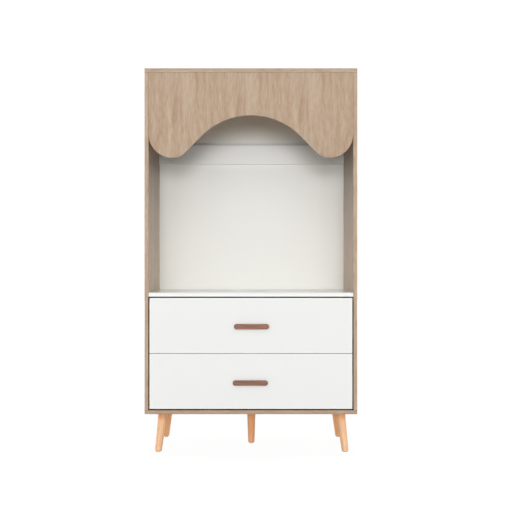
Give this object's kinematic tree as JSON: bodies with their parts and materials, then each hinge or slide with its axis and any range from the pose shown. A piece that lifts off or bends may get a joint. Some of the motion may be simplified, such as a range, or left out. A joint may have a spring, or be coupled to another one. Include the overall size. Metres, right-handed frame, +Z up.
{
  "type": "kids wardrobe",
  "caption": "Freestanding wardrobe for a child: open hanging space behind a scalloped valance, over inset drawers on ball-bearing slides, on splayed turned legs.",
  "frame": {"origin": "on the floor, under the middle of the overall box, handles included", "axes": "+Z up, the front with the drawers faces -Y, +X to the right of someone who faces the front"},
  "size_m": [0.95, 0.525, 1.725],
  "materials": {
    "oak_laminate": "light oak-look melamine, matte, with a fine vertical grain",
    "white_laminate": "white melamine, satin",
    "white_hardboard": "white painted hardboard, matte",
    "beech": "clear-lacquered beech, satin",
    "stained_wood": "reddish brown stain, satin",
    "birch_dowel": "bare wood, fluted",
    "chrome_steel": "polished plating",
    "zinc_steel": "bright zinc plating",
    "dark_zinc": "die-cast or darker zinc plating",
    "glide_plastic": "plain moulded plastic"
  },
  "bodies": {
    "carcass": {"top_panel": "oak_laminate", "bottom_panel": "oak_laminate", "left_side_panel": "oak_laminate", "right_side_panel": "oak_laminate", "valance_panel": "oak_laminate", "drawer_deck": "white_laminate", "upper_back_panel": "white_hardboard", "lower_back_panel": "white_hardboard", "back_rail": "white_laminate", "hanging_rod": "chrome_steel", "rod_sockets": "chrome_steel", "front_left_leg": "beech", "front_right_leg": "beech", "rear_left_leg": "beech", "rear_right_leg": "beech", "centre_leg": "beech", "corner_leg_plates": "dark_zinc", "centre_leg_plate": "dark_zinc", "leg_bolts": "zinc_steel", "leg_glides": "glide_plastic", "carcass_cam_locks": "dark_zinc", "carcass_cam_bolts": "zinc_steel", "carcass_dowels": "birch_dowel", "carcass_screws": "zinc_steel", "back_panel_screws": "zinc_steel", "wall_anchor_brackets": "zinc_steel", "upper_left_outer_slide": "zinc_steel", "upper_right_outer_slide": "zinc_steel", "lower_left_outer_slide": "zinc_steel", "lower_right_outer_slide": "zinc_steel"},
    "upper_slide_members": {"upper_left_middle_slide": "dark_zinc", "upper_right_middle_slide": "dark_zinc"},
    "lower_slide_members": {"lower_left_middle_slide": "dark_zinc", "lower_right_middle_slide": "dark_zinc"},
    "upper_drawer": {"upper_left_inner_slide": "zinc_steel", "upper_right_inner_slide": "zinc_steel", "upper_drawer_front": "white_laminate", "upper_drawer_left_side": "white_laminate", "upper_drawer_right_side": "white_laminate", "upper_drawer_back": "white_laminate", "upper_drawer_bottom": "white_hardboard", "upper_drawer_handle": "stained_wood", "upper_drawer_cam_locks": "dark_zinc", "upper_drawer_cam_bolts": "zinc_steel", "upper_drawer_slide_screws": "zinc_steel", "upper_drawer_back_screws": "zinc_steel", "upper_handle_screws": "zinc_steel"},
    "lower_drawer": {"lower_left_inner_slide": "zinc_steel", "lower_right_inner_slide": "zinc_steel", "lower_drawer_front": "white_laminate", "lower_drawer_left_side": "white_laminate", "lower_drawer_right_side": "white_laminate", "lower_drawer_back": "white_laminate", "lower_drawer_bottom": "white_hardboard", "lower_drawer_handle": "stained_wood", "lower_drawer_cam_locks": "dark_zinc", "lower_drawer_cam_bolts": "zinc_steel", "lower_drawer_slide_screws": "zinc_steel", "lower_drawer_back_screws": "zinc_steel", "lower_handle_screws": "zinc_steel"}
  },
  "joints": [
    {"name": "upper_drawer_slide", "type": "slide", "parent": "carcass", "child": "upper_drawer", "axis": [0, -1, 0], "range_m": [0, 0.43]},
    {"name": "lower_drawer_slide", "type": "slide", "parent": "carcass", "child": "lower_drawer", "axis": [0, -1, 0], "range_m": [0, 0.43]},
    {"name": "upper_members_slide", "type": "slide", "parent": "carcass", "child": "upper_slide_members", "axis": [0, -1, 0], "range_m": [0, 0.215]},
    {"name": "lower_members_slide", "type": "slide", "parent": "carcass", "child": "lower_slide_members", "axis": [0, -1, 0], "range_m": [0, 0.215]}
  ],
  "couplings": [
    {"joint": "upper_members_slide", "follows": "upper_drawer_slide", "ratio": 0.5},
    {"joint": "lower_members_slide", "follows": "lower_drawer_slide", "ratio": 0.5}
  ]
}
